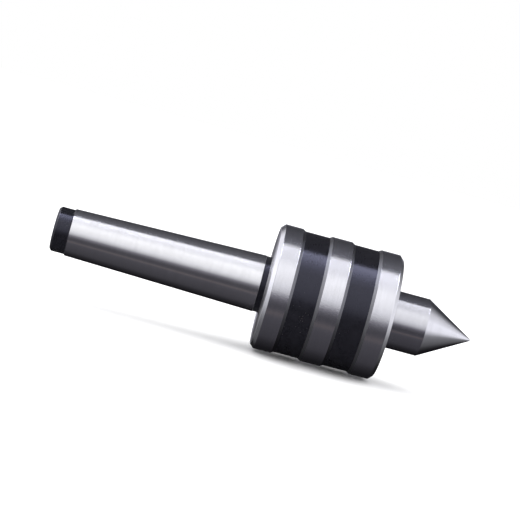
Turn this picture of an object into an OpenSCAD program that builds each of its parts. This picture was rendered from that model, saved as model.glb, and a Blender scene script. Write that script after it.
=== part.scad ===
// Live centre for a lathe tailstock: Morse No. 3 shank, fixed barrel, 60 degree revolving point.
// Frame, in millimetres: X is the axis of rotation and points from the shank to the point,
// Z is up, and the origin is where the axis crosses the gauge plane of the Morse taper.

/* [Morse taper shank] */
// Diameter of the taper at the gauge plane
gauge_d = 23.825; // [23.8:0.005:23.85]
// Change of diameter per millimetre of length
taper_ratio = 0.0502; // [0.0499:0.0001:0.0527]
// Length of ground taper in front of the gauge plane
taper_front = 5; // [4:0.5:6]
// Length of ground taper behind the gauge plane
taper_rear = 76.5; // [70:0.5:90]
// Diameter of the blackened pilot at the small end
pilot_d = 19; // [18:0.1:19.4]
// Length of the pilot
pilot_len = 6.4; // [4:0.1:12]
// Diameter of the undercut between taper and barrel
neck_d = 23.7; // [22:0.1:23.8]
// Length of the undercut
neck_len = 2.7; // [2:0.1:5]

/* [Barrel] */
// Outer diameter of the ground lands
barrel_d = 53.5; // [53:0.5:60]
// Overall length of the barrel
barrel_len = 52.5; // [52:0.5:60]
// Width of the land next to the shank, chamfer included
rear_land = 9; // [7:0.1:10]
// Width of the land between the grooves
middle_land = 8.5; // [6:0.1:9]
// Width of each blackened groove, sloped edges included
groove_w = 12.75; // [10:0.05:13]
// Depth of the blackened grooves
groove_depth = 0.75; // [0.4:0.05:1]
// Length of the sloped edge on each side of a groove
groove_slope = 1.25; // [0.6:0.05:1.5]
// Chamfer on the two end edges
edge_chamfer = 1.6; // [0.8:0.1:2]

/* [Revolving point] */
// Diameter of the nose behind the cone
nose_d = 24.5; // [24:0.1:25]
// Length of the nose that stands out of the barrel
nose_len = 15.4; // [10:0.1:25]
// Included angle of the point
point_angle = 60; // [60:1:90]
// Radius on the very tip
tip_r = 0.6; // [0.2:0.1:1]

/* [Front cap and seal] */
// Major diameter of the cap's thread
cap_thread_d = 45; // [45:0.1:45.5]
// Pitch of the cap's thread
cap_pitch = 1.5; // [1:0.25:1.5]
// Pitch circle diameter of the pin spanner holes
spanner_pcd = 37.6; // [37.4:0.1:37.8]
// Diameter of the pin spanner holes
spanner_hole_d = 4; // [3:0.1:4]
// Number of pin spanner holes
spanner_holes = 4; // [2, 3, 4]
// Outer diameter of the shaft seal
seal_d = 32; // [31:0.1:32]

/* [Front ball bearing] */
// Number of balls in the deep groove bearing
front_balls = 9; // [7:1:9]
// Diameter of its balls
front_ball_d = 6.35; // [6:0.05:6.35]

/* [Thrust bearing] */
// Number of balls in the thrust bearing
thrust_ball_count = 12; // [9:1:12]
// Diameter of its balls
thrust_ball_d = 4.762; // [4.5:0.001:4.8]

/* [Rear needle bearing] */
// Number of needle rollers
needle_count = 14; // [10:1:14]
// Diameter of a needle roller
needle_d = 1.96; // [1.9:0.01:1.96]

/* [Hidden] */
$fn = 96;

// Colours
ground_steel = [0.80, 0.80, 0.84];
black_oxide = [0.16, 0.16, 0.19];
bearing_steel = [0.72, 0.73, 0.75];
pressed_steel = [0.62, 0.60, 0.56];
cage_brass = [0.72, 0.58, 0.30];
seal_rubber = [0.08, 0.08, 0.08];

// Fits: radial play of a part that only sits on its seat, and of one that runs
seat_play = 0.01;
run_play = 0.04;

// Places along X, from the small end of the shank to the tip
shank_end = -taper_rear - pilot_len;
barrel_rear = taper_front + neck_len;
barrel_front = barrel_rear + barrel_len;
cone_base = barrel_front + nose_len;
nose_r = nose_d / 2;
barrel_r = barrel_d / 2;

// Front cap: recessed a little, and clamping the shim and the front bearing
cap_recess = 0.3;
cap_front = barrel_front - cap_recess;
cap_rear = barrel_front - 9;
cap_relief_r = 18.2;
cap_relief = 0.8;
cap_minor_r = cap_thread_d / 2 - 0.613 * cap_pitch;
cap_turns = floor(6 / cap_pitch);
thread_start = cap_rear + 0.7;
thread_play = 0.06;
spanner_depth = 4;
lock_screw_r = 1.5;
lock_screw_len = 4;
lock_screw_angle = 45;
seal_seat = cap_front - 4.9;
seal_r = seal_d / 2;
seal_len = 4.6;

// Deep groove ball bearing, 20 x 42 x 12
front_bore_r = 10;
front_outer_r = 21;
front_w = 12;
shim_t = 0.5;
front_mid = cap_rear - shim_t - front_w / 2;
front_pitch_r = 15.5;
front_ball_r = front_ball_d / 2;
front_groove_r = 0.52 * front_ball_d;
inner_land_r = 13.6;
outer_land_r = 17.4;
shield_seat_r = 18.6;
shield_t = 0.4;
shield_x = 4.9;
cage_t = 0.7;
cage_in_r = 14.2;
cage_out_r = 16.9;
rivet_r = 0.6;
rivet_head_r = 0.95;

// Retaining ring behind the front bearing
circlip_t = 1.2;
circlip_x = front_mid - front_w / 2 - circlip_t;
circlip_groove_r = 9.25;

// Thrust ball bearing, 17 x 30 x 9
thrust_bore_r = 8.5;
thrust_outer_r = 15;
thrust_h = 9;
thrust_washer_t = 2.75;
thrust_rear = barrel_rear + 17;
thrust_front = thrust_rear + thrust_h;
thrust_mid = thrust_rear + thrust_h / 2;
thrust_pitch_r = 11.75;
thrust_ball_r = thrust_ball_d / 2;

// Drawn cup needle bearing, 12 x 18 x 12
needle_r = needle_d / 2;
needle_pitch_r = 7;
needle_len = 9;
cup_r = 9;
cup_len = 12;
cup_rear = thrust_rear - 2 - cup_len;
cup_mid = cup_rear + cup_len / 2;
cup_race_r = needle_pitch_r + needle_r + run_play;
tail_r = needle_pitch_r - needle_r - run_play;
spindle_tail = cup_rear - 1;
bore_bottom = spindle_tail - 1;

// Radius of the Morse taper at a place along X
function taper_r(x) = (gauge_d + x * taper_ratio) / 2;

// Points [radius, x] along an arc
function arc(centre, radius, from, to, steps = 6) = [
    for (i = [0 : steps])
        let (a = from + (to - from) * i / steps)
            centre + radius * [cos(a), sin(a)]
];

// Crests and roots of a ring thread, from x onwards
function thread(x, major_r, minor_r, turns) = [
    for (i = [0 : turns - 1])
        for (p = [[minor_r, 0.25], [major_r, 0.5625], [major_r, 0.6875], [minor_r, 1]])
            [p[0], x + (i + p[1]) * cap_pitch]
];

function reversed(list) = [for (i = [len(list) - 1 : -1 : 0]) list[i]];

// Rectangle in the [radius, x] plane with its corners cut by c
function cut_rect(r0, r1, x0, x1, c) = [
    [r0 + c, x0], [r1 - c, x0], [r1, x0 + c], [r1, x1 - c],
    [r1 - c, x1], [r0 + c, x1], [r0, x1 - c], [r0, x0 + c]
];

// Turns the local Z axis onto X
module along_x(x = 0) {
    translate([x, 0, 0]) rotate([0, 90, 0]) children();
}

// Solid of revolution about X from an outline of [radius, x] points
module turned(outline) {
    along_x() rotate_extrude() polygon(outline);
}

// Copies its children evenly around X at a radius
module around(count, radius, first = 0) {
    for (i = [0 : count - 1])
        rotate([first + 360 / count * i, 0, 0]) translate([0, 0, radius]) children();
}

// Centre drilling with a 60 degree countersink, as [radius, x] points from the axis to the face
function centre_hole(face, inward, pilot_r, mouth_r, pilot_depth) =
    let (cone = (mouth_r - pilot_r) / tan(30))
    [
        [0, face + inward * (cone + pilot_depth + pilot_r * tan(30))],
        [pilot_r, face + inward * (cone + pilot_depth)],
        [pilot_r, face + inward * cone],
        [mouth_r, face]
    ];

// Outside of the barrel: two grooves between three lands, with sloped edges
function barrel_outline() =
    [
        [barrel_r - edge_chamfer, barrel_rear],
        [barrel_r, barrel_rear + edge_chamfer],
        for (g = [0, 1])
            let (a = barrel_rear + rear_land + g * (groove_w + middle_land), b = a + groove_w)
                each [
                    [barrel_r, a],
                    [barrel_r - groove_depth, a + groove_slope],
                    [barrel_r - groove_depth, b - groove_slope],
                    [barrel_r, b]
                ],
        [barrel_r, barrel_front - edge_chamfer],
        [barrel_r - edge_chamfer, barrel_front]
    ];

// Stepped bore of the barrel, from the mouth to the blind end
function bore_outline() =
    let (
        mouth_r = cap_thread_d / 2 + thread_play,
        relief_r = mouth_r + 0.15,
        shoulder = front_mid - front_w / 2
    )
    [
        [mouth_r + 0.4, barrel_front],
        [mouth_r, barrel_front - 0.4],
        [mouth_r, thread_start + (cap_turns + 0.1) * cap_pitch],
        each reversed(thread(thread_start, mouth_r, cap_minor_r + thread_play, cap_turns)),
        [cap_minor_r + thread_play, thread_start + 0.1],
        [relief_r, thread_start],
        [relief_r, cap_rear - 0.1],
        [front_outer_r + seat_play, cap_rear - 0.1],
        [front_outer_r + seat_play, shoulder],
        [front_outer_r - 4.5, shoulder],
        [front_outer_r - 4.5, thrust_rear + 3.5],
        [thrust_outer_r + seat_play, thrust_rear + 3.5],
        [thrust_outer_r + seat_play, thrust_rear],
        [cup_r + seat_play, thrust_rear],
        [cup_r + seat_play, bore_bottom],
        [0, bore_bottom]
    ];

// Hole for the screw that locks the cap: half of it is in the cap and half in the barrel
module lock_hole() {
    rotate([lock_screw_angle, 0, 0]) translate([0, 0, cap_thread_d / 2])
        along_x(cap_front - lock_screw_len - 0.4) cylinder(r = lock_screw_r, h = lock_screw_len + 2);
}

// Barrel and Morse shank in one piece
module housing() {
    pilot_r = pilot_d / 2;
    neck_r = neck_d / 2;
    fillet = 0.9;
    color(ground_steel) difference() {
        turned([
            each centre_hole(shank_end, 1, 1.6, 3.6, 4),
            [pilot_r - 0.9, shank_end],
            [pilot_r, shank_end + 0.9],
            [pilot_r, -taper_rear],
            [pilot_r + 0.1, -taper_rear],
            [taper_r(-taper_rear + 0.4), -taper_rear + 0.4],
            [taper_r(taper_front - 0.2), taper_front - 0.2],
            [neck_r, taper_front],
            each arc([neck_r + fillet, barrel_rear - fillet], fillet, 180, 90),
            each barrel_outline(),
            each bore_outline()
        ]);
        lock_hole();
    }
}

// Revolving point: nose, stepped journals and tail in one piece
module spindle() {
    half = point_angle / 2;
    cone_tip = cone_base + nose_r / tan(half);
    tip_centre = [0, cone_tip - tip_r / sin(half)];
    thrust_shoulder = thrust_front;
    nose_shoulder = front_mid + front_w / 2;
    journal_r = front_bore_r - seat_play;
    color(ground_steel) turned([
        each centre_hole(spindle_tail, 1, 1, 2.1, 2.5),
        [tail_r - 0.8, spindle_tail],
        [tail_r, spindle_tail + 0.8],
        [tail_r, thrust_rear - 1],
        [thrust_bore_r - seat_play - 0.5, thrust_rear - 1],
        [thrust_bore_r - seat_play, thrust_rear - 0.5],
        [thrust_bore_r - seat_play, thrust_shoulder],
        [journal_r, thrust_shoulder],
        [journal_r, circlip_x - 0.1],
        [circlip_groove_r, circlip_x - 0.1],
        [circlip_groove_r, circlip_x + circlip_t],
        [journal_r, circlip_x + circlip_t],
        [journal_r, nose_shoulder - 1],
        [journal_r - 0.3, nose_shoulder - 0.7],
        [journal_r - 0.3, nose_shoulder],
        [nose_r - 0.3, nose_shoulder],
        [nose_r, nose_shoulder + 0.3],
        [nose_r, cone_base],
        each arc(tip_centre, tip_r, half, 90, 5)
    ]);
}

// Threaded cap that closes the barrel, with holes for a pin spanner
module front_cap() {
    rim_r = cap_thread_d / 2 - 0.05;
    collar = thread_start + (cap_turns + 0.2) * cap_pitch;
    bore_r = nose_r + 0.35;
    color(ground_steel) difference() {
        turned([
            [bore_r, cap_rear + cap_relief],
            [cap_relief_r, cap_rear + cap_relief],
            [cap_relief_r, cap_rear],
            [cap_minor_r - 0.4, cap_rear],
            [cap_minor_r, cap_rear + 0.4],
            [cap_minor_r, thread_start + 0.1],
            each thread(thread_start, cap_thread_d / 2, cap_minor_r, cap_turns),
            [cap_minor_r, collar],
            [rim_r, collar + 0.5],
            [rim_r, cap_front - 0.4],
            [rim_r - 0.4, cap_front],
            [seal_r + 0.3, cap_front],
            [seal_r + seat_play, cap_front - 0.3],
            [seal_r + seat_play, seal_seat],
            [bore_r, seal_seat]
        ]);
        around(spanner_holes, spanner_pcd / 2)
            along_x(cap_front - spanner_depth) cylinder(d = spanner_hole_d, h = spanner_depth + 1);
        lock_hole();
    }
}

// Grub screw that stops the cap from turning, with a hexagon socket
module cap_lock_screw() {
    socket_flats = 1.5;
    screw_r = lock_screw_r - 0.03;
    color(black_oxide) rotate([lock_screw_angle, 0, 0]) translate([0, 0, cap_thread_d / 2])
        difference() {
            turned([
                [0, cap_front - lock_screw_len],
                [screw_r - 0.4, cap_front - lock_screw_len],
                [screw_r, cap_front - lock_screw_len + 0.4],
                [screw_r, cap_front - 0.55],
                [screw_r - 0.25, cap_front - 0.3],
                [0, cap_front - 0.3]
            ]);
            along_x(cap_front - 2) cylinder(d = socket_flats / cos(30), h = 3, $fn = 6);
        }
}

// Ground ring that sets the preload of the front bearing
module bearing_shim() {
    color(bearing_steel) turned(
        cut_rect(cap_relief_r, front_outer_r - 0.1, cap_rear - shim_t, cap_rear, 0.1)
    );
}

// Pressed steel case of the shaft seal
module seal_case() {
    wall = 0.7;
    lip_root_r = nose_r + 1.5;
    color(pressed_steel) turned([
        [seal_r - wall, seal_seat],
        [seal_r - 0.3, seal_seat],
        [seal_r, seal_seat + 0.3],
        [seal_r, seal_seat + seal_len - 0.5],
        [seal_r - 0.5, seal_seat + seal_len],
        [lip_root_r, seal_seat + seal_len],
        [lip_root_r, seal_seat + seal_len - wall],
        [seal_r - wall, seal_seat + seal_len - wall]
    ]);
}

// Rubber element of the seal: a dust lip in front and a sprung lip behind
module seal_lip() {
    root_r = nose_r + 1.5;
    touch_r = nose_r + run_play;
    front = seal_seat + seal_len;
    color(seal_rubber) along_x() rotate_extrude() difference() {
        polygon([
            [touch_r, front],
            [root_r, front],
            [root_r, front - 0.7],
            [root_r + 0.7, front - 0.7],
            [root_r + 0.7, front - 1.4],
            [root_r, front - 1.8],
            [root_r, front - 2.4],
            [root_r + 0.5, front - 2.9],
            [root_r + 0.5, front - 4.3],
            [root_r - 0.6, front - 4.3],
            [touch_r, front - 3.5],
            [touch_r + 0.6, front - 2.6],
            [touch_r + 0.6, front - 1.3],
            [touch_r, front - 0.5]
        ]);
        translate([root_r + 0.5, front - 3.5]) circle(r = 0.62, $fn = 48);
    }
}

// Ring spring that presses the seal's rear lip inwards
module seal_garter_spring() {
    color(pressed_steel) along_x(seal_seat + seal_len - 3.5)
        rotate_extrude() translate([nose_r + 2, 0]) circle(r = 0.58, $fn = 48);
}

// Deep groove ball bearing: outer ring with seats for the shields
module front_bearing_outer_ring() {
    half = front_w / 2;
    color(bearing_steel) along_x(front_mid) rotate_extrude() difference() {
        polygon(cut_rect(outer_land_r, front_outer_r, -half, half, 0.5));
        translate([front_pitch_r + front_ball_r + run_play - front_groove_r, 0])
            circle(r = front_groove_r);
        for (side = [0, 1]) mirror([0, side])
            translate([outer_land_r - 1, shield_x - 0.05]) square([shield_seat_r - outer_land_r + 1, half]);
    }
}

module front_bearing_inner_ring() {
    half = front_w / 2;
    color(bearing_steel) along_x(front_mid) rotate_extrude() difference() {
        polygon(cut_rect(front_bore_r, inner_land_r, -half, half, 0.5));
        translate([front_pitch_r - front_ball_r - run_play + front_groove_r, 0])
            circle(r = front_groove_r);
    }
}

module front_bearing_balls() {
    color(bearing_steel) around(front_balls, front_pitch_r)
        translate([front_mid, 0, 0]) sphere(r = front_ball_r);
}

// One half of the riveted ribbon cage: flats between cups that follow the balls
module ribbon_cage_half(side) {
    cup_inner = front_ball_r + 0.1;
    half_step = 180 / front_balls;
    color(cage_brass) translate([front_mid, 0, 0]) mirror([side, 0, 0]) difference() {
        intersection() {
            along_x() difference() {
                cylinder(r = cage_out_r, h = cup_inner + cage_t);
                translate([0, 0, -1]) cylinder(r = cage_in_r, h = cup_inner + cage_t + 2);
            }
            union() {
                along_x() cylinder(r = cage_out_r + 1, h = cage_t);
                around(front_balls, front_pitch_r) sphere(r = cup_inner + cage_t);
            }
        }
        around(front_balls, front_pitch_r) sphere(r = cup_inner);
        around(front_balls, front_pitch_r, half_step)
            along_x(-1) cylinder(r = rivet_r + 0.01, h = cage_t + 2, $fn = 32);
    }
}

module front_cage_front_half() {
    ribbon_cage_half(0);
}

module front_cage_rear_half() {
    ribbon_cage_half(1);
}

module front_cage_rivets() {
    head_t = 0.4;
    color(pressed_steel) translate([front_mid, 0, 0])
        around(front_balls, front_pitch_r, 180 / front_balls) turned([
            [0, -cage_t - head_t],
            [rivet_head_r - 0.35, -cage_t - head_t],
            [rivet_head_r, -cage_t - 0.1],
            [rivet_head_r, -cage_t],
            [rivet_r, -cage_t],
            [rivet_r, cage_t],
            [rivet_head_r, cage_t],
            [rivet_head_r, cage_t + 0.1],
            [rivet_head_r - 0.35, cage_t + head_t],
            [0, cage_t + head_t]
        ]);
}

// Pressed shield with a dished rim that snaps into the outer ring
module bearing_shield(side) {
    inner_r = inner_land_r + 0.15;
    color(pressed_steel) translate([front_mid, 0, 0]) mirror([side, 0, 0]) turned([
        [inner_r, shield_x],
        [outer_land_r - 0.4, shield_x],
        [outer_land_r + 0.1, shield_x + 0.4],
        [shield_seat_r - seat_play, shield_x + 0.4],
        [shield_seat_r - seat_play, shield_x + 0.4 + shield_t],
        [outer_land_r - 0.1, shield_x + 0.4 + shield_t],
        [outer_land_r - 0.6, shield_x + shield_t],
        [inner_r, shield_x + shield_t]
    ]);
}

module front_shield() {
    bearing_shield(0);
}

module rear_shield() {
    bearing_shield(1);
}

// Retaining ring with two drilled lugs, in a groove behind the front bearing
module spindle_circlip() {
    inner_r = circlip_groove_r + 0.05;
    ring_r = 11.3;
    lug_angle = 14;
    lug_r = 1.6;
    lug_at = inner_r + 1.9;
    color(black_oxide) along_x(circlip_x) linear_extrude(circlip_t) difference() {
        union() {
            translate([-0.45, 0]) circle(r = ring_r);
            for (a = [-lug_angle, lug_angle]) rotate(a) translate([lug_at, 0]) circle(r = lug_r, $fn = 48);
        }
        circle(r = inner_r);
        translate([inner_r - 1, -1]) square([6, 2]);
        for (a = [-lug_angle, lug_angle]) rotate(a) translate([lug_at, 0]) circle(r = 0.7, $fn = 32);
    }
}

// Washer of the thrust bearing, lying from x onwards, with its ball groove on the side that faces the balls
module thrust_washer(inner_r, outer_r, x, groove_side) {
    groove_r = 0.53 * thrust_ball_d;
    groove_x = thrust_mid + groove_side * (thrust_ball_r + run_play - groove_r);
    color(bearing_steel) along_x() rotate_extrude() difference() {
        polygon(cut_rect(inner_r, outer_r, x, x + thrust_washer_t, 0.4));
        translate([thrust_pitch_r, groove_x]) circle(r = groove_r);
    }
}

module thrust_shaft_washer() {
    thrust_washer(thrust_bore_r, thrust_outer_r - 0.15, thrust_front - thrust_washer_t, 1);
}

module thrust_housing_washer() {
    thrust_washer(thrust_bore_r + 0.5, thrust_outer_r, thrust_rear, -1);
}

module thrust_balls() {
    color(bearing_steel) around(thrust_ball_count, thrust_pitch_r)
        translate([thrust_mid, 0, 0]) sphere(r = thrust_ball_r);
}

module thrust_cage() {
    plate_t = 2;
    color(cage_brass) difference() {
        turned(cut_rect(thrust_bore_r + 0.8, thrust_outer_r - 0.5, thrust_mid - plate_t / 2,
            thrust_mid + plate_t / 2, 0.2));
        around(thrust_ball_count, thrust_pitch_r)
            along_x(thrust_mid - plate_t) cylinder(r = thrust_ball_r + 0.08, h = 2 * plate_t);
    }
}

// Drawn cup with both ends turned in over the cage
module needle_cup() {
    lip_t = 0.8;
    lip_r = tail_r + 0.6;
    cup_front = cup_rear + cup_len;
    color(bearing_steel) turned([
        [lip_r, cup_rear],
        [cup_r - 0.7, cup_rear],
        [cup_r, cup_rear + 0.7],
        [cup_r, cup_front - 0.7],
        [cup_r - 0.7, cup_front],
        [lip_r, cup_front],
        [lip_r, cup_front - lip_t],
        [cup_race_r, cup_front - lip_t],
        [cup_race_r, cup_rear + lip_t],
        [lip_r, cup_rear + lip_t]
    ]);
}

module needle_cage() {
    half = needle_len / 2 + 0.6;
    pocket_w = needle_d + 0.1;
    pocket_len = needle_len + 0.1;
    color(pressed_steel) difference() {
        turned(cut_rect(needle_pitch_r - 0.45, needle_pitch_r + 0.45, cup_mid - half, cup_mid + half, 0.1));
        around(needle_count, needle_pitch_r)
            translate([cup_mid - pocket_len / 2, -pocket_w / 2, -1.2]) cube([pocket_len, pocket_w, 2.4]);
    }
}

module needle_rollers() {
    half = needle_len / 2;
    color(bearing_steel) around(needle_count, needle_pitch_r) turned([
        [0, cup_mid - half],
        [needle_r - 0.2, cup_mid - half],
        [needle_r, cup_mid - half + 0.2],
        [needle_r, cup_mid + half - 0.2],
        [needle_r - 0.2, cup_mid + half],
        [0, cup_mid + half]
    ]);
}

housing();
spindle();
front_cap();
cap_lock_screw();
bearing_shim();
seal_case();
seal_lip();
seal_garter_spring();
front_bearing_outer_ring();
front_bearing_inner_ring();
front_bearing_balls();
front_cage_front_half();
front_cage_rear_half();
front_cage_rivets();
front_shield();
rear_shield();
spindle_circlip();
thrust_shaft_washer();
thrust_balls();
thrust_cage();
thrust_housing_washer();
needle_cup();
needle_cage();
needle_rollers();
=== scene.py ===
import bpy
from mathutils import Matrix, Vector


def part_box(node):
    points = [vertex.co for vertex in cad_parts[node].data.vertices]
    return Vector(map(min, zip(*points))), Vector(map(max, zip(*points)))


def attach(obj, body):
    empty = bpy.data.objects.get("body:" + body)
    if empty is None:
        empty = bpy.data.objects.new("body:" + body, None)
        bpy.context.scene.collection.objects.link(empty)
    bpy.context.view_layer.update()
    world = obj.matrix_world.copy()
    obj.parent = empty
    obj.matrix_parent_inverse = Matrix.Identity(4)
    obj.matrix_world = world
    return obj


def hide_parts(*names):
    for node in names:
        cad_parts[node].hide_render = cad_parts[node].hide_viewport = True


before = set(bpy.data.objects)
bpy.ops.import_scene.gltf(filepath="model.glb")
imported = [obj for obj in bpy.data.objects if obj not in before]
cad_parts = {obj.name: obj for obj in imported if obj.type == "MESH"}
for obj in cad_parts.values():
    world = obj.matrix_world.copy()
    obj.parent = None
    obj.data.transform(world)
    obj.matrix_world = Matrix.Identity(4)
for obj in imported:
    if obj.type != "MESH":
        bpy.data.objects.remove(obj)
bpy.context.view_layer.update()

import math

import bmesh
import bpy
from mathutils import Matrix, Vector

MM = 0.001
scene = bpy.context.scene
scene.view_settings.view_transform = "Standard"
scene.view_settings.look = "None"

housing_lo, housing_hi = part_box("housing")
spindle_lo, spindle_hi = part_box("spindle")
BARREL_R = housing_hi.z
SHANK_END = housing_lo.x
BARREL_FRONT = housing_hi.x
TIP = spindle_hi.x

# ---------------------------------------------------------------- camera
# The axis is square to the view a little behind the middle, so the barrel turns its rear face very slightly to the
# camera. Metres, unless the name says otherwise.
ELEVATION = math.radians(5.0)
ROLL = math.radians(15.35)
DISTANCE = 0.790
SENSOR_MM = 36
LENS_MM = 131.538462
STANDS_BEHIND = 0.0367  # how far behind the object's middle, along its axis, the camera stands
AIMS_BEHIND = 0.0040
AIMS_ABOVE = 0.00945


def tilted(x, along, up):
    """A point by its place along the axis, and how far behind the axis and above it the camera sees it."""
    c, s = math.cos(ELEVATION), math.sin(ELEVATION)
    return Vector((x, along * c + up * s, -along * s + up * c))


def make_camera():
    middle = (SHANK_END + TIP) / 2
    place = tilted(middle - STANDS_BEHIND, -DISTANCE, 0)
    aim = tilted(middle - AIMS_BEHIND, 0, AIMS_ABOVE)
    forward = (aim - place).normalized()
    right = forward.cross(Vector((0, 0, 1))).normalized()
    up = right.cross(forward)
    turned_right = right * math.cos(ROLL) + up * math.sin(ROLL)
    turned_up = up * math.cos(ROLL) - right * math.sin(ROLL)
    data = bpy.data.cameras.new("camera")
    data.sensor_width = SENSOR_MM
    data.lens = LENS_MM
    data.clip_start = 0.01
    data.clip_end = 100
    cam = bpy.data.objects.new("camera", data)
    turn = Matrix((turned_right, turned_up, -forward)).transposed()
    cam.matrix_world = Matrix.Translation(place) @ turn.to_4x4()
    scene.collection.objects.link(cam)
    scene.camera = cam


make_camera()


# ---------------------------------------------------------------- node helpers
class Tree:
    """A shader tree with short ways to add nodes and links."""

    def __init__(self, tree):
        self.tree = tree
        tree.nodes.clear()

    def add(self, kind, **settings):
        node = self.tree.nodes.new(kind)
        for key, value in settings.items():
            setattr(node, key, value)
        return node

    def link(self, a, b):
        self.tree.links.new(a, b)

    def put(self, value, socket):
        if isinstance(value, bpy.types.NodeSocket):
            self.link(value, socket)
        else:
            socket.default_value = value

    def math(self, op, a, b=0.0):
        node = self.add("ShaderNodeMath", operation=op)
        for value, socket in zip((a, b), node.inputs):
            self.put(value, socket)
        return node.outputs[0]

    def xyz(self, x, y, z):
        node = self.add("ShaderNodeCombineXYZ")
        for value, socket in zip((x, y, z), node.inputs):
            self.put(value, socket)
        return node.outputs[0]

    def noise(self, vector, scale=1.0, detail=2.0, rough=0.5):
        node = self.add("ShaderNodeTexNoise")
        self.link(vector, node.inputs["Vector"])
        node.inputs["Scale"].default_value = scale
        node.inputs["Detail"].default_value = detail
        node.inputs["Roughness"].default_value = rough
        return node.outputs["Fac"]

    def ramp(self, value, stops):
        """A colour that goes straight from stop to stop. Each stop is a place and a colour."""
        node = self.add("ShaderNodeValToRGB")
        self.link(value, node.inputs[0])
        elements = node.color_ramp.elements
        for element, (place, colour) in zip(elements, (stops[0], stops[-1])):
            element.position = place
            element.color = (*colour, 1)
        for place, colour in stops[1:-1]:
            elements.new(place).color = (*colour, 1)
        return node.outputs["Color"]

    def span(self, value, low, high, to_low=0.0, to_high=1.0):
        """value from low..high mapped to to_low..to_high, clamped."""
        node = self.add("ShaderNodeMapRange", clamp=True)
        for v, socket in zip((value, low, high, to_low, to_high), node.inputs):
            self.put(v, socket)
        return node.outputs[0]

    def mix(self, factor, a, b, blend="MIX"):
        node = self.add("ShaderNodeMix", data_type="RGBA", blend_type=blend)
        self.put(factor, node.inputs["Factor"])
        for value, socket in ((a, node.inputs[6]), (b, node.inputs[7])):
            if not isinstance(value, bpy.types.NodeSocket):
                value = (*value, 1) if len(value) == 3 else value
            self.put(value, socket)
        return node.outputs[2]


def around_axis(t):
    """The place along the axis, the direction around it as cosine and sine, so that a pattern has no seam, the
    distance from it, and the point itself, in millimetres."""
    coords = t.add("ShaderNodeTexCoord").outputs["Object"]
    split = t.add("ShaderNodeSeparateXYZ")
    t.link(coords, split.inputs[0])
    x, y, z = (t.math("MULTIPLY", output, 1000.0) for output in split.outputs)
    radius = t.math("SQRT", t.math("ADD", t.math("MULTIPLY", y, y), t.math("MULTIPLY", z, z)))
    safe = t.math("MAXIMUM", radius, 0.05)
    return x, t.math("DIVIDE", y, safe), t.math("DIVIDE", z, safe), radius, t.xyz(x, y, z)


def stretched(t, x, c, s, per_mm, around):
    """A place for a pattern that is drawn out along the axis or around it."""
    return t.xyz(t.math("MULTIPLY", x, per_mm), t.math("MULTIPLY", c, around), t.math("MULTIPLY", s, around))


def grind(t, x, c, s, per_mm, around):
    """Noise drawn out around the axis: per_mm lines to a millimetre along it, and around cells to a radian."""
    return t.noise(stretched(t, x, c, s, per_mm, around), 1.0, 3.0, 0.6)


def shader(name):
    material = bpy.data.materials.new(name)
    material.use_nodes = True
    t = Tree(material.node_tree)
    out = t.add("ShaderNodeOutputMaterial")
    bsdf = t.add("ShaderNodeBsdfPrincipled")
    t.link(bsdf.outputs[0], out.inputs[0])
    return material, t, bsdf


def radial_tangent(t, bsdf, amount):
    tangent = t.add("ShaderNodeTangent", direction_type="RADIAL", axis="X")
    t.link(tangent.outputs[0], bsdf.inputs["Tangent"])
    bsdf.inputs["Anisotropic"].default_value = amount
    bsdf.inputs["Anisotropic Rotation"].default_value = 0.25


def bump(t, bsdf, height, distance):
    node = t.add("ShaderNodeBump")
    node.inputs["Strength"].default_value = 1.0
    node.inputs["Distance"].default_value = distance
    t.link(height, node.inputs["Height"])
    t.link(node.outputs[0], bsdf.inputs["Normal"])


def ground_steel(name, colour, rough, aniso, lines, around, depth, grain=3e-6, across=False):
    """Ground or turned metal, its marks running around the axis. lines is their number to a millimetre, along the axis
    or, with across, out from it, and around is how short they are. depth and grain are the height of the marks and of
    the fine mottling, in metres."""
    material, t, bsdf = shader(name)
    x, c, s, radius, point = around_axis(t)
    along = radius if across else x
    fine = grind(t, along, c, s, lines, around)
    broad = grind(t, along, c, s, 0.9, 1.5)
    clouds = t.noise(point, 0.22, 3.0, 0.55)
    mottle = t.noise(point, 1.7, 3.0, 0.7)
    shade = t.span(fine, 0.3, 0.7, 0.95, 1.0)
    for pattern, darkest, brightest in ((broad, -0.025, 0.025), (clouds, -0.02, 0.02), (mottle, -0.03, 0.02)):
        shade = t.math("ADD", shade, t.span(pattern, 0.3, 0.7, darkest, brightest))
    tint = t.add("ShaderNodeVectorMath", operation="SCALE")
    tint.inputs[0].default_value = colour
    t.link(shade, tint.inputs["Scale"])
    t.link(tint.outputs[0], bsdf.inputs["Base Color"])
    bsdf.inputs["Metallic"].default_value = 1.0
    rough_map = t.span(fine, 0.25, 0.75, rough * 0.85, rough * 1.15)
    rough_map = t.math("ADD", rough_map, t.span(mottle, 0.3, 0.7, -0.02, 0.02))
    t.link(rough_map, bsdf.inputs["Roughness"])
    radial_tangent(t, bsdf, aniso)
    height = t.math("ADD", t.math("MULTIPLY", fine, depth / grain), mottle)
    bump(t, bsdf, height, grain)
    return material


BARE_STEEL = (0.42, 0.41, 0.40)
SPECK_PATCH = (26, -24, -9)  # the middle of a group of pinpricks on the rear black band, in millimetres
OXIDE_DEPTH = 1.2e-6  # the height of its fine marks, in metres


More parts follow.
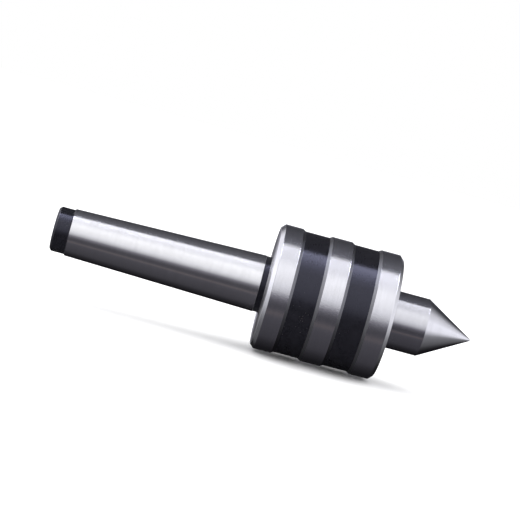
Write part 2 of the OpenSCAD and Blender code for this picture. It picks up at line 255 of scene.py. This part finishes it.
def pinpricks(t, point):
    """Small round bare spots, mostly in one patch."""
    cells = t.add("ShaderNodeTexVoronoi", feature="F1")
    t.link(point, cells.inputs["Vector"])
    cells.inputs["Scale"].default_value = 0.95
    cells.inputs["Randomness"].default_value = 1.0
    patch = t.add("ShaderNodeVectorMath", operation="DISTANCE")
    t.link(point, patch.inputs[0])
    patch.inputs[1].default_value = SPECK_PATCH
    near = t.span(patch.outputs["Value"], 2.0, 16.0, 0.22, -0.02)
    spread = t.math("ADD", t.noise(point, 0.5, 2.0), near)
    size = t.span(spread, 0.58, 0.80, 0.0, 0.22)
    return t.math("LESS_THAN", cells.outputs["Distance"], size)


def scuffed(t, x, c, s, point, amount):
    """Thin worn streaks along the axis, in patches."""
    streak = t.noise(stretched(t, x, c, s, 0.8, 34.0), 1.0, 2.0, 0.7)
    patch = t.span(t.noise(point, 0.28, 1.0), 0.5, 0.66, 0.0, 1.0)
    return t.math("MULTIPLY", t.span(streak, 0.62, 0.7, 0.0, amount), patch)


def black_oxide(name, colour, rough, lines, specks=False, scuffs=0.0):
    """Blackened turned steel. specks gives it pinpricks, or scuffs worn streaks, through to the steel."""
    material, t, bsdf = shader(name)
    x, c, s, _, point = around_axis(t)
    fine = grind(t, x, c, s, lines, 9.0)
    clouds = t.noise(point, 0.35, 4.0, 0.6)
    worn = t.span(clouds, 0.35, 0.75, 0.0, 1.0)
    base = t.mix(worn, colour, tuple(k * 1.6 for k in colour))
    bare = pinpricks(t, point) if specks else scuffed(t, x, c, s, point, scuffs) if scuffs else None
    if bare is not None:
        base = t.mix(bare, base, BARE_STEEL)
        t.link(bare, bsdf.inputs["Metallic"])
    t.link(base, bsdf.inputs["Base Color"])
    rough_map = t.span(fine, 0.25, 0.75, rough - 0.03, rough + 0.03)
    rough_map = t.math("ADD", rough_map, t.span(clouds, 0.3, 0.7, -0.02, 0.02))
    t.link(rough_map, bsdf.inputs["Roughness"])
    bsdf.inputs["IOR"].default_value = 1.52
    bsdf.inputs["Specular Tint"].default_value = (1.0, 1.01, 1.30, 1)
    radial_tangent(t, bsdf, 1.0)
    bump(t, bsdf, t.math("ADD", fine, t.noise(point, 6.0, 3.0, 0.7)), OXIDE_DEPTH)
    return material


# Colour, roughness, anisotropy, marks to a millimetre, how short the marks are, and their height in metres.
MAT = {
    "taper": ground_steel("ground_taper", (0.92, 0.92, 0.92), 0.19, 0.70, 6.0, 16.0, 1.2e-6),
    "land": ground_steel("ground_land", (0.84, 0.84, 0.865), 0.175, 0.50, 7.0, 18.0, 1.4e-6, grain=3.0e-5),
    "chamfer": ground_steel("turned_chamfer", (0.82, 0.82, 0.84), 0.22, 0.40, 9.0, 8.0, 2.0e-6),
    "slope": ground_steel("turned_groove_edge", (0.44, 0.44, 0.46), 0.34, 0.30, 9.0, 8.0, 2.0e-6),
    # A darker copy of the turned groove edge, for the edges that slope down towards the front: painted shade, not a
    # different finish.
    "shaded_slope": ground_steel("groove_edge_painted_shade", (0.20, 0.20, 0.215), 0.34, 0.30, 9.0, 8.0, 2.0e-6),
    "face": ground_steel("turned_face", (0.62, 0.62, 0.63), 0.40, 0.85, 5.0, 4.0, 5.0e-6, grain=4.0e-6, across=True),
    "worn_edge": ground_steel("worn_black_edge", (0.13, 0.128, 0.13), 0.36, 0.2, 5.0, 9.0, 2.0e-6, grain=6.0e-6),
    "nose": ground_steel("ground_point", (0.74, 0.74, 0.765), 0.15, 0.60, 9.0, 20.0, 1.0e-6, grain=2.5e-6),
    "bore": ground_steel("bored_steel", (0.50, 0.50, 0.51), 0.35, 0.30, 5.0, 6.0, 6.0e-6),
    "bearing": ground_steel("honed_bearing_steel", (0.78, 0.78, 0.80), 0.16, 0.40, 9.0, 18.0, 1.5e-6),
    "ball": ground_steel("lapped_ball_steel", (0.84, 0.84, 0.86), 0.06, 0.0, 3.0, 5.0, 2.0e-7),
    "pressed": ground_steel("pressed_sheet", (0.58, 0.57, 0.55), 0.36, 0.10, 2.0, 4.0, 4.0e-6),
    "seal_steel": ground_steel("phosphated_sheet", (0.20, 0.20, 0.21), 0.45, 0.10, 3.0, 5.0, 4.0e-6, across=True),
    "brass": ground_steel("turned_brass", (0.72, 0.53, 0.24), 0.30, 0.30, 7.0, 9.0, 4.0e-6),
    "wire": ground_steel("spring_wire", (0.55, 0.55, 0.57), 0.30, 0.0, 3.0, 20.0, 4.0e-6),
    "groove": black_oxide("blackened_groove", (0.0055, 0.0054, 0.0069), 0.295, 4.0, specks=True),
    "pilot": black_oxide("blackened_pilot", (0.0044, 0.0044, 0.0056), 0.28, 3.0, scuffs=0.30),
    "neck": black_oxide("blackened_neck", (0.005, 0.005, 0.0062), 0.32, 4.0),
    "screw": black_oxide("blackened_screw", (0.018, 0.018, 0.02), 0.38, 9.0),
}


def rubber(name):
    material, t, bsdf = shader(name)
    *_, point = around_axis(t)
    grain = t.noise(point, 9.0, 4.0, 0.65)
    dust = t.span(t.noise(point, 0.8, 3.0), 0.45, 0.75, 0.0, 1.0)
    t.link(t.mix(dust, (0.012, 0.012, 0.013), (0.035, 0.034, 0.032)), bsdf.inputs["Base Color"])
    t.link(t.span(grain, 0.3, 0.7, 0.48, 0.66), bsdf.inputs["Roughness"])
    bump(t, bsdf, grain, 1.2e-5)
    return material


MAT["rubber"] = rubber("nitrile_rubber")


# ---------------------------------------------------------------- lathe
def arc(centre, start, end, turn):
    """Points on a rounding, from centre + start to centre + end, each with how far along it is."""
    steps = max(2, round(math.degrees(turn) / 18))
    for k in range(steps + 1):
        f = k / steps
        yield f, centre + (start * math.sin((1 - f) * turn) + end * math.sin(f * turn)) / math.sin(turn)


def rounded(outline, support):
    """Rounds each corner of an outline of (x, r, round, material) by its round, in millimetres, and adds a ring close
    to each end of a straight stretch so that the shading stays true. A fifth item is the material of the rounding."""
    made = []
    for i, (x, r, radius, mat, *edge) in enumerate(outline):
        here = Vector((x, r))
        if i in (0, len(outline) - 1) or radius <= 0:
            made.append((here, mat))
            continue
        before = Vector(outline[i - 1][:2]) - here
        after = Vector(outline[i + 1][:2]) - here
        turn = math.pi - before.angle(after)
        reach = min(radius * math.tan(turn / 2), 0.45 * before.length, 0.45 * after.length)
        radius = reach / math.tan(turn / 2)
        a, b = before.normalized(), after.normalized()
        centre = here + (a + b).normalized() * (radius / math.cos(turn / 2))
        for f, p in arc(centre, here + a * reach - centre, here + b * reach - centre, turn):
            own = outline[i - 1][3] if f < 0.5 else mat
            made.append((p, edge[0] if edge and f < 1 else own))
    rings = []
    for (p, mat), (q, _) in zip(made, made[1:]):
        rings.append((p, mat))
        length = (q - p).length
        if length > 6 * support:
            step = (q - p) / length * support
            rings += [(p + step, mat), (q - step, mat)]
    return rings + made[-1:]


def revolve(rings, segments, closed=False):
    """A mesh turned about X from rings of (x, r, material). Millimetres in, metres out."""
    bm = bmesh.new()
    loops = []
    for x, r, _ in rings:
        if r < 1e-6:
            loops.append([bm.verts.new((x * MM, 0, 0))])
        else:
            turns = [2 * math.pi * k / segments for k in range(segments)]
            loops.append([bm.verts.new((x * MM, r * MM * math.cos(a), r * MM * math.sin(a))) for a in turns])
    pairs = list(zip(loops, loops[1:])) + ([(loops[-1], loops[0])] if closed else [])
    for (a, b), (_, _, mat) in zip(pairs, rings):
        if len(a) == len(b) == 1:
            continue
        for k in range(segments):
            n = (k + 1) % segments
            if len(a) == 1:
                face = bm.faces.new((a[0], b[n], b[k]))
            elif len(b) == 1:
                face = bm.faces.new((a[k], a[n], b[0]))
            else:
                face = bm.faces.new((a[k], a[n], b[n], b[k]))
            face.material_index = mat
    bmesh.ops.recalc_face_normals(bm, faces=bm.faces)
    return bm


def place(bm, name):
    """A new object in the scene with this mesh."""
    mesh = bpy.data.meshes.new(name)
    bm.to_mesh(mesh)
    bm.free()
    obj = bpy.data.objects.new(name, mesh)
    scene.collection.objects.link(obj)
    return obj


def lathe(name, outline, slots, segments, support):
    """A solid of revolution about X from an outline that starts and ends on the axis, or closes on itself."""
    closed = outline[0][1] > 0
    if closed:
        outline = list(outline) + [outline[0]]
    rings = [(p.x, p.y, mat) for p, mat in rounded(outline, support)]
    obj = place(revolve(rings[:-1] if closed else rings, segments, closed), name)
    for slot in slots:
        obj.data.materials.append(MAT[slot])
    soften(obj.data)
    return obj


def soften(mesh, degrees=32):
    """Smooth shading, with edges sharper than this kept sharp."""
    mesh.shade_smooth()
    mesh.set_sharp_from_angle(angle=math.radians(degrees))


def cut(obj, cutters):
    """Takes the cutters away from obj and deletes them."""
    for cutter in cutters:
        mod = obj.modifiers.new("cut", "BOOLEAN")
        mod.operation = "DIFFERENCE"
        mod.solver = "EXACT"
        mod.object = cutter
    bpy.context.view_layer.update()
    dg = bpy.context.evaluated_depsgraph_get()
    mesh = bpy.data.meshes.new_from_object(obj.evaluated_get(dg))
    obj.modifiers.clear()
    old = obj.data
    obj.data = mesh
    mesh.name = old.name
    bpy.data.meshes.remove(old)
    for cutter in cutters:
        bpy.data.objects.remove(cutter)
    soften(mesh)


# ---------------------------------------------------------------- housing
def taper_r(x):
    return (23.825 + x * 0.0502) / 2


def thread(start, major, minor):
    """The outline of 4 turns of a thread of 1.5 mm pitch, drawn as rings."""
    return [
        (start + (i + at) * 1.5, r, 0)
        for i in range(4)
        for r, at in ((minor, 0.25), (major, 0.5625), (major, 0.6875), (minor, 1.0))
    ]


def made_of(mat, points):
    """The outline points, each with this material after it."""
    return [(*point, mat) for point in points]


# The outlines are in millimetres. E is the shank's end, B the barrel's rear face, F its front face and R its radius.
E = SHANK_END / MM
F = BARREL_FRONT / MM
R = BARREL_R / MM
B = F - 52.5
CHAMFER_SIZE = 1.6
GROOVE_WIDTH = 12.75
GROOVE_SLOPE = 1.25
GROOVE_FLOOR_R = R - 0.75
GROOVES = B + 9, B + 9 + GROOVE_WIDTH + 8.5
PILOT_R = 9.5
PILOT_EDGE = 0.9
PILOT_FRONT = -76.5
TAPER_REAR = -76.1
TAPER_FRONT = 4.8
NECK_R = 11.85
FILLET = 0.9
CAP_REAR = F - 9
CAP_FRONT = F - 0.3
THREAD_REAR = F - 8.3
BEARING_SEAT_R = 21.01
THRUST_SEAT_R = 15.01
NEEDLE_SEAT_R = 9.01
HOUSING_SLOTS = (
    "land", "groove", "chamfer", "slope", "pilot", "neck", "bore", "face", "taper", "shaded_slope", "worn_edge",
)
LAND, GROOVE, CHAMFER, SLOPE, OXIDE, NECK, BORE, FACE, TAPER, SHADED_SLOPE, WORN = range(11)


def housing_outline():
    """Along the outside from the shank's centre hole to the front face, and back through the bore."""
    fillet = [
        (B - FILLET + FILLET * math.sin(a), NECK_R + FILLET - FILLET * math.cos(a), 0, NECK if a < 0.4 else FACE)
        for a in (math.radians(k) for k in range(0, 91, 15))
    ]
    shank = [
        (E + 8.388, 0, 0, BORE), (E + 7.464, 1.6, 0, BORE), (E + 3.464, 1.6, 0.05, BORE), (E, 3.6, 0.08, OXIDE),
        (E, PILOT_R - PILOT_EDGE, 0.25, OXIDE, WORN), (E + PILOT_EDGE, PILOT_R, 0.35, OXIDE, WORN),
        (PILOT_FRONT, PILOT_R, 0, OXIDE), (PILOT_FRONT, 9.6, 0, OXIDE), (TAPER_REAR, taper_r(TAPER_REAR), 0.15, TAPER),
        (TAPER_FRONT, taper_r(TAPER_FRONT), 0.12, NECK), (5.0, NECK_R, 0.1, NECK),
    ]
    barrel = [(B, R - CHAMFER_SIZE, 0.3, CHAMFER), (B + CHAMFER_SIZE, R, 0.3, LAND)]
    for g in GROOVES:
        barrel += [
            # The edge sloping down into each groove takes the darker copy of the groove edge, a painted shade.
            (g, R, 0.25, SHADED_SLOPE), (g + GROOVE_SLOPE, GROOVE_FLOOR_R, 0.25, GROOVE),
            (g + GROOVE_WIDTH - GROOVE_SLOPE, GROOVE_FLOOR_R, 0.25, SLOPE), (g + GROOVE_WIDTH, R, 0.25, LAND),
        ]
    barrel += [(F - CHAMFER_SIZE, R, 0.3, CHAMFER), (F, R - CHAMFER_SIZE, 0.25, FACE), (F, 22.96, 0.05, FACE)]
    bore = [(F - 0.4, 22.56, 0.05), (F - 2.15, 22.56, 0), *reversed(thread(THREAD_REAR, 22.56, 21.64))]
    bore += [
        (F - 8.2, 21.64, 0), (THREAD_REAR, 22.71, 0), (CAP_REAR - 0.1, 22.71, 0), (CAP_REAR - 0.1, BEARING_SEAT_R, 0),
        (F - 21.5, BEARING_SEAT_R, 0), (F - 21.5, 16.5, 0), (B + 20.5, 16.5, 0), (B + 20.5, THRUST_SEAT_R, 0),
        (B + 17, THRUST_SEAT_R, 0), (B + 17, NEEDLE_SEAT_R, 0), (B + 1, NEEDLE_SEAT_R, 0), (B + 1, 0, 0),
    ]
    return shank + fillet + barrel + made_of(BORE, bore)


def lock_cutter(mat):
    """The lock screw's hole, half in the cap and half in the barrel."""
    depth = 6.4
    middle = Matrix.Translation(((CAP_FRONT - 4.4 + depth / 2) * MM, 0, 22.5 * MM))
    turn = Matrix.Rotation(math.radians(45), 4, "X") @ middle @ Matrix.Rotation(math.radians(90), 4, "Y")
    bm = bmesh.new()
    bmesh.ops.create_cone(
        bm, cap_ends=True, segments=48, radius1=1.5 * MM, radius2=1.5 * MM, depth=depth * MM, matrix=turn,
    )
    for face in bm.faces:
        face.material_index = mat
    return place(bm, "cutter")


housing = lathe("housing_body", housing_outline(), HOUSING_SLOTS, 256, 0.06)
cut(housing, [lock_cutter(BORE)])
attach(housing, "barrel")
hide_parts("housing")


# ---------------------------------------------------------------- revolving point
NOSE_R = 12.25
NOSE_LENGTH = 15.4
CONE_HALF_ANGLE = math.radians(30)
TIP_R = 0.6
GROUND, TURNED = range(2)


def point_outline():
    """Along the spindle from the centre hole in its tail to the tip of the cone."""
    x0 = spindle_lo.x / MM
    base = F + NOSE_LENGTH
    cone_tip = base + NOSE_R / math.tan(CONE_HALF_ANGLE)
    tip_centre = cone_tip - TIP_R / math.sin(CONE_HALF_ANGLE)
    tip = [
        (tip_centre + TIP_R * math.sin(a), TIP_R * math.cos(a), 0, GROUND)
        for a in (math.radians(30 + k * 10) for k in range(6))
    ]
    tail = [(x0 + 4.98, 0, 0), (x0 + 4.405, 1, 0), (x0 + 1.905, 1, 0), (x0, 2.1, 0.05), (x0, 5.18, 0.1)]
    journals = [
        (x0 + 0.8, 5.98, 0.1), (B + 16, 5.98, 0), (B + 16, 7.99, 0), (B + 16.5, 8.49, 0.1), (B + 26, 8.49, 0),
        (B + 26, 9.99, 0.1), (F - 22.8, 9.99, 0),
    ]
    return [
        *made_of(TURNED, tail), *made_of(GROUND, journals), (F - 22.8, 9.25, 0, TURNED),
        (F - 21.5, 9.25, 0, TURNED), (F - 21.5, 9.99, 0, GROUND), (F - 10.5, 9.99, 0, GROUND),
        (F - 10.2, 9.69, 0, TURNED), (F - 9.5, 9.69, 0, TURNED), (F - 9.5, 11.95, 0, TURNED),
        (F - 9.2, NOSE_R, 0.1, GROUND), (base, NOSE_R, 0.12, GROUND), *tip, (tip_centre + TIP_R, 0, 0, GROUND),
    ]


point = lathe("revolving_point", point_outline(), ("nose", "bore"), 256, 0.05)
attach(point, "point")
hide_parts("spindle")


# ---------------------------------------------------------------- front cap
CAP_FACE, CAP_TURNED, CAP_HOLE_SHADED = range(3)


def cap_outline():
    """Around the ring's section, from the inside of its rear end."""
    inside = [
        (CAP_REAR + 0.8, 12.6, 0), (CAP_REAR + 0.8, 18.2, 0), (CAP_REAR, 18.2, 0), (CAP_REAR, 21.18, 0),
        (CAP_REAR + 0.4, 21.58, 0), (THREAD_REAR + 0.1, 21.58, 0), *thread(THREAD_REAR, 22.5, 21.58),
        (THREAD_REAR + 6.3, 21.58, 0), (THREAD_REAR + 6.8, 22.45, 0),
    ]
    face = [(CAP_FRONT - 0.4, 22.45, 0.05), (CAP_FRONT, 22.05, 0.08), (CAP_FRONT, 16.31, 0.05)]
    seal_seat = [(CAP_FRONT - 0.3, 16.01, 0.05), (F - 5.2, 16.01, 0), (F - 5.2, 12.6, 0)]
    return made_of(CAP_TURNED, inside) + made_of(CAP_FACE, face) + made_of(CAP_TURNED, seal_seat)


def spanner_cutter(angle):
    """A blind hole for a spanner's pin, with a broken edge."""
    profile = [
        (CAP_FRONT - 4, 0), (CAP_FRONT - 4, 2.0), (CAP_FRONT - 0.25, 2.0), (CAP_FRONT, 2.25),
        (CAP_FRONT + 1, 3.25), (CAP_FRONT + 1, 0),
    ]
    # The walls, floor and broken edge of each spanner hole take the near-black blackened steel, a painted shade inside
    # the blind hole.
    bm = revolve(made_of(CAP_HOLE_SHADED, profile), 48)
    turn = Matrix.Rotation(math.radians(angle), 4, "X") @ Matrix.Translation((0, 0, 18.8 * MM))
    bmesh.ops.transform(bm, matrix=turn, verts=bm.verts)
    return place(bm, "cutter")


cap = lathe("front_cap_ring", cap_outline(), ("face", "bore", "screw"), 192, 0.05)
cut(cap, [lock_cutter(CAP_TURNED)] + [spanner_cutter(angle) for angle in (0, 90, 180, 270)])
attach(cap, "barrel")
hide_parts("front_cap")


# ---------------------------------------------------------------- carried-over nodes
FINISH = {
    "cap_lock_screw": "screw", "bearing_shim": "bearing",
    "seal_case": "seal_steel", "seal_lip": "rubber", "seal_garter_spring": "wire",
    "front_bearing_outer_ring": "bearing", "front_bearing_inner_ring": "bearing", "front_bearing_balls": "ball",
    "front_cage_front_half": "pressed", "front_cage_rear_half": "pressed", "front_cage_rivets": "pressed",
    "front_shield": "pressed", "rear_shield": "pressed", "spindle_circlip": "screw", "thrust_shaft_washer": "bearing",
    "thrust_balls": "ball", "thrust_cage": "brass", "thrust_housing_washer": "bearing", "needle_cup": "bearing",
    "needle_cage": "pressed", "needle_rollers": "ball",
}
for node, finish in FINISH.items():
    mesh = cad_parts[node].data
    mesh.materials.clear()
    mesh.materials.append(MAT[finish])
    soften(mesh)


# ---------------------------------------------------------------- floor, light and surroundings
FLOOR_GAP = 0.0008


def make_floor():
    bm = bmesh.new()
    bmesh.ops.create_grid(bm, x_segments=1, y_segments=1, size=6.0)
    obj = place(bm, "floor")
    obj.location = (0, 0, -BARREL_R - FLOOR_GAP)
    material, _, bsdf = shader("pale_floor")
    bsdf.inputs["Base Color"].default_value = (0.86, 0.86, 0.86, 1)
    bsdf.inputs["Roughness"].default_value = 0.9
    bsdf.inputs["Specular IOR Level"].default_value = 0.0
    obj.data.materials.append(material)
    obj.visible_glossy = False


def make_overhead_light():
    data = bpy.data.lights.new("overhead", "AREA")
    data.shape = "RECTANGLE"
    data.size, data.size_y = 2.4, 1.8
    data.energy = 6.0
    light = bpy.data.objects.new("overhead", data)
    light.location = (0.03, -0.1, 1.4)
    light.rotation_mode = "QUATERNION"
    light.rotation_quaternion = light.location.to_track_quat("Z", "Y")
    light.visible_glossy = False
    scene.collection.objects.link(light)


make_floor()
make_overhead_light()

# Brightness of the studio as the steel reflects it. The long panels in front and overhead go by the angle in degrees
# around the object's axis, up from the camera.
PANELS = [
    (-180, 0.01), (-140, 0.01), (-116, 0.025), (-98, 0.05), (-60, 0.07), (-50, 0.082), (-45, 0.122), (-39, 0.075),
    (-30, 0.06), (-20, 0.105), (-13, 0.20), (-6, 0.52), (0, 0.66), (6, 0.80), (15, 0.90), (37, 1.07), (45, 1.02),
    (57, 0.82), (66, 0.84), (79, 0.94), (85.5, 0.88), (88, 0.13), (104, 0.095), (120, 0.065), (150, 0.036),
    (166, 0.09), (172, 0.30), (180, 0.30),
]
# A strip light to each side of the middle, seen mostly in dull surfaces. It goes by the same angle, and its brightness
# is multiplied by STRIP_COLOUR.
STRIPS = [(44, 0.0), (56, 0.22), (63, 0.43), (70, 0.66), (76, 0.86), (84, 1.2), (90, 1.45), (92, 0.0)]
STRIP_COLOUR = (9.4, 9.6, 11.6)
# The white cards past each end go by height, from straight down to straight up.
LEFT_CARD = [
    (-1, 0.05), (-0.6, 0.10), (-0.49, 0.19), (-0.42, 0.33), (-0.30, 0.55), (-0.15, 0.72), (0, 1.15), (0.3, 1.35),
    (0.45, 1.2), (0.57, 0.88), (0.67, 0.65), (0.73, 0.25), (1, 0.15),
]
RIGHT_CARD = [
    (-1, 0.04), (-0.71, 0.09), (-0.575, 0.16), (-0.42, 0.21), (-0.30, 0.30), (-0.15, 0.70), (0, 1.05), (0.36, 1.15),
    (0.63, 0.72), (0.74, 0.5), (1, 0.2),
]
# By depth, the right card fades away behind the object, and the left card fades away in front of it.
RIGHT_FADE = [(0.0, 1.0), (0.1, 1.0), (0.226, 0.72), (0.4, 0.45), (0.63, 0.15)]
LEFT_FADE = [(0.5, 0.2), (0.55, 0.32), (0.606, 0.6), (0.7, 0.8), (0.8, 1.0)]
SURROUNDINGS = (1.7, 1.7, 1.71)  # plain white, for every ray that isn't a reflection


def grey(stops):
    return [(at, (v, v, v)) for at, v in stops]


def by_angle(stops):
    return [((angle + 180) / 360, v) for angle, v in stops]


def card(stops):
    """Faintly blue stops, by height."""
    return [((height + 1) / 2, (v * 0.985, v * 0.985, v * 1.06)) for height, v in stops]


def panel_colour(angle, v):
    """The panels are a little blue, more so low down and behind. The thin line 45 degrees down is rosy."""
    if -47 < angle < -43:
        return (v * 1.06, v * 0.92, v * 0.98)
    if angle < -8:
        return (v, v * 0.96, v * 1.14)
    if 10 < angle < 50:
        return (v, v, v * 1.05)
    return (v, v, v * (1.20 if angle > 86 else 1.07))


def make_world():
    world = bpy.data.worlds.new("studio")
    world.use_nodes = True
    scene.world = world
    t = Tree(world.node_tree)
    out = t.add("ShaderNodeOutputWorld")
    coords = t.add("ShaderNodeTexCoord").outputs["Generated"]
    split = t.add("ShaderNodeSeparateXYZ")
    t.link(coords, split.inputs[0])
    lx, ly, lz = split.outputs
    angle = t.math("ARCTAN2", lz, t.math("MULTIPLY", ly, -1.0))
    angle = t.math("SUBTRACT", angle, ELEVATION)
    turn = t.math("FRACT", t.math("ADD", t.math("DIVIDE", angle, 2 * math.pi), 1.5))

    panels = t.ramp(turn, by_angle([(a, panel_colour(a, v)) for a, v in PANELS]))
    strips = t.ramp(turn, grey(by_angle(STRIPS)))
    beside = t.math("ABSOLUTE", lx)
    inside = t.math("MULTIPLY", t.span(beside, 0.28, 0.36), t.span(beside, 0.60, 0.52))
    strips = t.mix(1.0, strips, t.xyz(*[t.math("MULTIPLY", inside, k) for k in STRIP_COLOUR]), "MULTIPLY")
    height = t.span(lz, -1, 1)
    left = t.mix(1.0, t.ramp(height, card(LEFT_CARD)), t.ramp(t.math("ADD", ly, 1.0), grey(LEFT_FADE)), "MULTIPLY")
    right = t.mix(1.0, t.ramp(height, card(RIGHT_CARD)), t.ramp(ly, grey(RIGHT_FADE)), "MULTIPLY")
    studio = t.mix(1.0, panels, strips, "ADD")
    studio = t.mix(t.span(lx, -0.32, -0.60), studio, left)
    studio = t.mix(t.span(lx, 0.52, 0.72), studio, right)
    path = t.add("ShaderNodeLightPath")
    plain = t.mix(path.outputs["Is Glossy Ray"], SURROUNDINGS, studio)
    seen = t.mix(path.outputs["Is Camera Ray"], plain, (1.0, 1.0, 1.0))
    back = t.add("ShaderNodeBackground")
    t.link(seen, back.inputs[0])
    t.link(back.outputs[0], out.inputs[0])


make_world()
